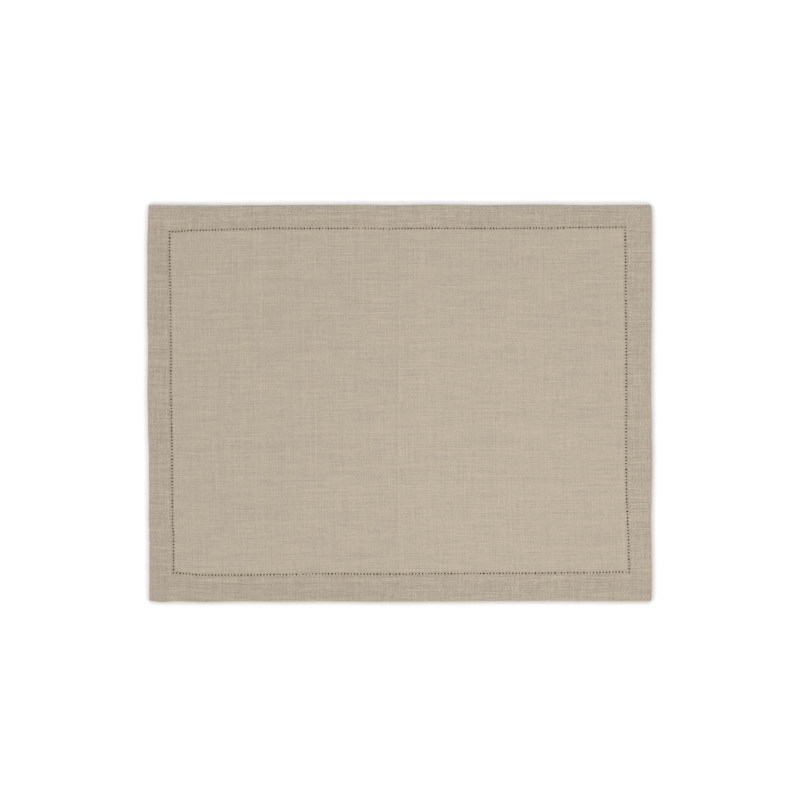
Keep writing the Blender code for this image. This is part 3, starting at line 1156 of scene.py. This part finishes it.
class PLACEMAT_OT_bundle_yarns(bpy.types.Operator):
    """Gathers the drawn yarns of the open row into bundles, with a hole between each two"""

    bl_idname = "placemat.bundle_yarns"
    bl_label = "Bundle the drawn yarns"

    def execute(self, context):
        cloth = context.scene.placemat_cloth
        stitch = context.scene.placemat_stitch
        chance = np.random.default_rng(stitch.seed + 1)
        units = []
        for _ in range(UNIT_KINDS):
            strands = []
            for number in range(YARNS_IN_BUNDLE):
                home = (number + 0.5 - YARNS_IN_BUNDLE / 2) * UNIT_PITCH * MM / YARNS_IN_BUNDLE
                path = []
                for row in DRAWN_YARN:
                    sway = chance.normal(0.0, YARN_SWAY)
                    along = home * (row.spread * stitch.bundle_width + sway)
                    lift = chance.normal(0.0, YARN_RISE)
                    path.append((along, row.across * MM, (row.height + lift) * MM))
                half_widths = [row.half_width * MM for row in DRAWN_YARN]
                half_heights = [row.half_height * MM for row in DRAWN_YARN]
                strands.append(draw_yarn(path, half_widths, half_heights, YARN_SIDES))
            units.append(joined(strands))
        # Lighter than the linen: partly their own tone, partly painted light
        colour = tuple(part * BUNDLE_TONE_AND_LIGHT for part in cloth.colour)
        material = yarn_material("drawn_yarn", colour, fibre_scale=2200.0, unevenness=0.16)
        rows = set_out(units, bundle_places(stitch, True))
        finish_piece(rows, "hemstitch_bundles", material)
        return {"FINISHED"}


class PLACEMAT_OT_sew_hemstitch(bpy.types.Operator):
    """Sews the hemstitch: thread round each bundle on both sides, biting into the hem"""

    bl_idname = "placemat.sew_hemstitch"
    bl_label = "Sew the hemstitch"

    def execute(self, context):
        cloth = context.scene.placemat_cloth
        stitch = context.scene.placemat_stitch
        units = []
        for turns in (HEM_STITCH, FIELD_STITCH):
            path = [
                (row.along * UNIT_PITCH * MM, row.across * MM, row.height * MM) for row in turns
            ]
            half = [stitch.thread / 2] * len(path)
            units.append(draw_yarn(path, half, half, THREAD_SIDES))
        unit = joined(units)
        # Lighter than the linen: partly its own tone, partly painted light
        colour = tuple(part * THREAD_TONE_AND_LIGHT for part in cloth.colour)
        material = yarn_material("sewing_thread", colour, fibre_scale=3000.0, unevenness=0.12)
        rows = set_out([unit], bundle_places(stitch, False))
        finish_piece(rows, "hemstitch_thread", material)
        return {"FINISHED"}


# Studio


def pale_floor(tone):
    """Plain matt white floor."""
    material, _, shader = matt_material("pale_floor", (tone,) * 3, 0.0, 0.0)
    shader.inputs["Base Color"].default_value = (tone, tone, tone, 1.0)
    shader.inputs["Roughness"].default_value = 1.0
    return material


def studio_sky(scene, light):
    """A broad ring of light low round the mat, a little brighter on the left, and a dim zenith."""
    world = bpy.data.worlds.new("studio_sky")
    scene.world = world
    world.use_nodes = True
    tree = world.node_tree
    background = tree.nodes["Background"]
    way = add(tree, "TexCoord").outputs["Generated"]
    parts = add(tree, "SeparateXYZ", {0: way}).outputs
    level = calc(tree, "MULTIPLY_ADD", parts[0], -WALL_LEAN, 1.0)
    for row in WALLS:
        inputs = {0: parts[2], 1: row.start, 2: row.end, 3: row.below, 4: row.above}
        part = add(tree, "MapRange", inputs, interpolation_type="SMOOTHSTEP").outputs[0]
        level = calc(tree, "MULTIPLY", level, part)
    level = calc(tree, "MULTIPLY", level, light)
    tree.links.new(level, background.inputs["Strength"])
    background.inputs["Color"].default_value = (1.0, 1.0, 1.0, 1.0)


class PLACEMAT_OT_set_studio(bpy.types.Operator):
    """Sets the floor, the soft light and the camera straight above the mat"""

    bl_idname = "placemat.set_studio"
    bl_label = "Set the studio"

    def execute(self, context):
        scene = context.scene
        studio = scene.placemat_studio
        base = bmesh.new()
        bmesh.ops.create_grid(base, x_segments=1, y_segments=1, size=FLOOR_REACH)
        bmesh.ops.translate(base, verts=base.verts[:], vec=(0.0, 0.0, -FLOOR_GAP))
        mesh = bpy.data.meshes.new("floor")
        base.to_mesh(mesh)
        base.free()
        mesh.materials.append(pale_floor(studio.floor_tone))
        floor = bpy.data.objects.new("floor", mesh)
        scene.collection.objects.link(floor)
        studio_sky(scene, studio.light)
        lens = bpy.data.cameras.new("camera")
        lens.lens = CAMERA_LENS
        lens.sensor_width = CAMERA_SENSOR
        camera = bpy.data.objects.new("camera", lens)
        height = studio.width * CAMERA_LENS / CAMERA_SENSOR + MAT_TOP
        camera.location = (studio.aim[0] - MIDDLE_X, studio.aim[1], height)
        scene.collection.objects.link(camera)
        scene.camera = camera
        scene.view_settings.view_transform = "Standard"
        return {"FINISHED"}


# Panel


class PLACEMAT_PT_workshop(bpy.types.Panel):
    """The placemat's steps and settings"""

    bl_idname = "PLACEMAT_PT_workshop"
    bl_label = "Placemat"
    bl_space_type = "VIEW_3D"
    bl_region_type = "UI"
    bl_category = "Placemat"

    def draw(self, context):
        scene = context.scene
        for settings in (scene.placemat_cloth, scene.placemat_stitch, scene.placemat_studio):
            box = self.layout.box()
            for name in settings.bl_rna.properties.keys():
                if name not in ("rna_type", "name"):
                    box.prop(settings, name)
        for step in STEPS:
            self.layout.operator(step.bl_idname)


STEPS = (
    PLACEMAT_OT_set_studio,
    PLACEMAT_OT_lay_cloth,
    PLACEMAT_OT_bundle_yarns,
    PLACEMAT_OT_sew_hemstitch,
)
GROUPS = {
    "placemat_cloth": ClothSettings,
    "placemat_stitch": StitchSettings,
    "placemat_studio": StudioSettings,
}


def register():
    """Registers the settings, the steps and the panel."""
    for name, group in GROUPS.items():
        bpy.utils.register_class(group)
        setattr(bpy.types.Scene, name, PointerProperty(type=group))
    for step in STEPS:
        bpy.utils.register_class(step)
    bpy.utils.register_class(PLACEMAT_PT_workshop)


def unregister():
    """Takes them away again."""
    bpy.utils.unregister_class(PLACEMAT_PT_workshop)
    for step in reversed(STEPS):
        bpy.utils.unregister_class(step)
    for name, group in reversed(GROUPS.items()):
        delattr(bpy.types.Scene, name)
        bpy.utils.unregister_class(group)


def main():
    """Makes the placemat and its studio."""
    register()
    bpy.ops.placemat.set_studio()
    bpy.ops.placemat.lay_cloth()
    bpy.ops.placemat.bundle_yarns()
    bpy.ops.placemat.sew_hemstitch()


if __name__ == "__main__":
    main()
